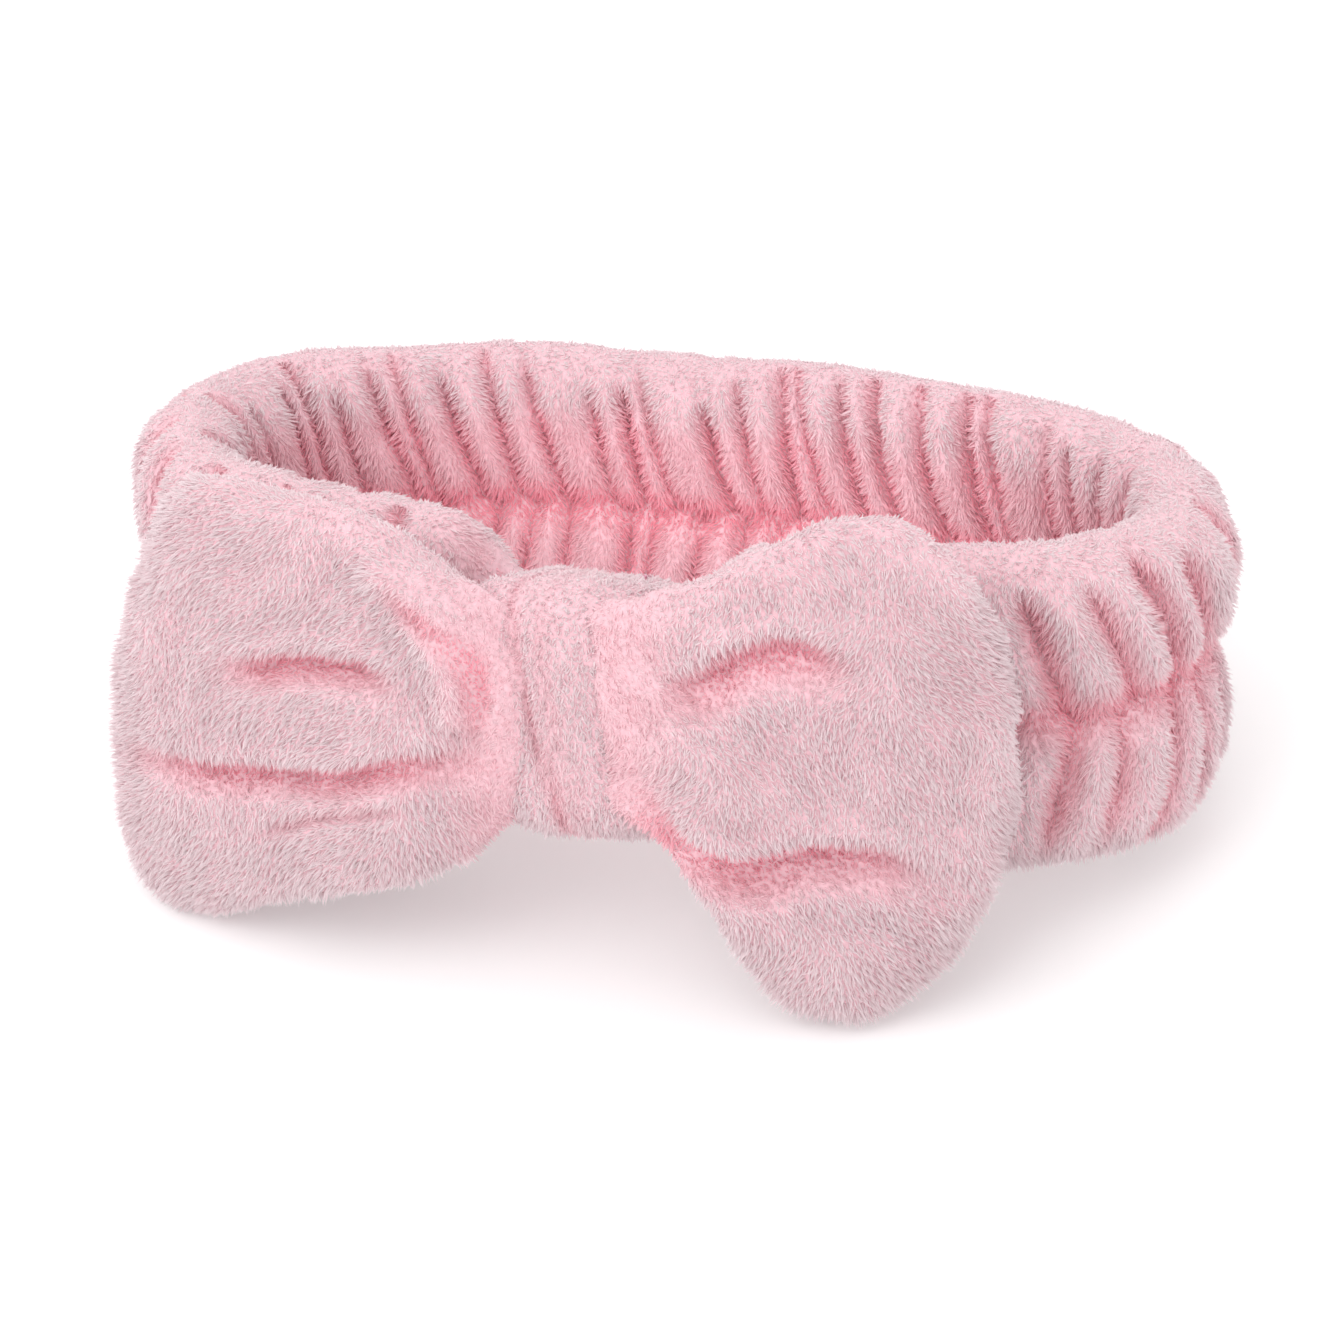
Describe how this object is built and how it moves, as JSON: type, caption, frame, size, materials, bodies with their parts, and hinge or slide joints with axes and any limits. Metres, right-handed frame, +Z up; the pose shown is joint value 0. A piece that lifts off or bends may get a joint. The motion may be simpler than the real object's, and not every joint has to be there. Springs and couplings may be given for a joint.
{
  "type": "spa headband",
  "caption": "Stretchy gathered plush headband with a waisted double-puff band and a large soft bow held by a knot at the front.",
  "frame": {"origin": "on the surface that the headband stands on, under the middle of its box", "axes": "+X along the band's long side towards the wearer's left, +Z up; the bow faces -Y"},
  "size_m": [0.224, 0.1447, 0.1039],
  "materials": {
    "plush": "deep soft pile",
    "bow_plush": "deep soft pile",
    "knot_plush": "short soft pile",
    "tape": "ribbed elastic weave",
    "thread": "satin thread",
    "fill": "loose fibre"
  },
  "bodies": {
    "front": {"sleeve_front": "plush", "elastic_front": "tape", "elastic_lap": "tape", "lap_tacks": "thread", "outer_row_front": "thread", "inner_row_front": "thread", "hem_seam_front": "thread", "end_seam": "thread", "knot_wrap": "knot_plush", "knot_stitches": "thread", "bow_waist": "bow_plush", "gather_thread": "thread", "bow_tacks": "thread"},
    "back": {"sleeve_back": "plush", "elastic_back": "tape", "outer_row_back": "thread", "inner_row_back": "thread", "hem_seam_back": "thread"},
    "left_wing": {"left_wing_shell": "bow_plush", "left_wing_fill": "fill", "left_wing_seam": "thread"},
    "right_wing": {"right_wing_shell": "bow_plush", "right_wing_fill": "fill"}
  },
  "joints": [
    {"name": "band_stretch", "type": "slide", "parent": "front", "child": "back", "axis": [0, 1, 0], "range_m": [0, 0.06], "stiffness_N_per_m": 80},
    {"name": "left_wing_flex", "type": "hinge", "parent": "front", "child": "left_wing", "pos_m": [-0.015, -0.05639, 0.05757], "axis": [0, 0.1994, 0.9799], "range_deg": [0, 35], "stiffness_Nm_per_rad": 0.03},
    {"name": "right_wing_flex", "type": "hinge", "parent": "front", "child": "right_wing", "pos_m": [0.015, -0.05639, 0.05757], "axis": [0, -0.1994, -0.9799], "range_deg": [0, 35], "stiffness_Nm_per_rad": 0.03}
  ]
}
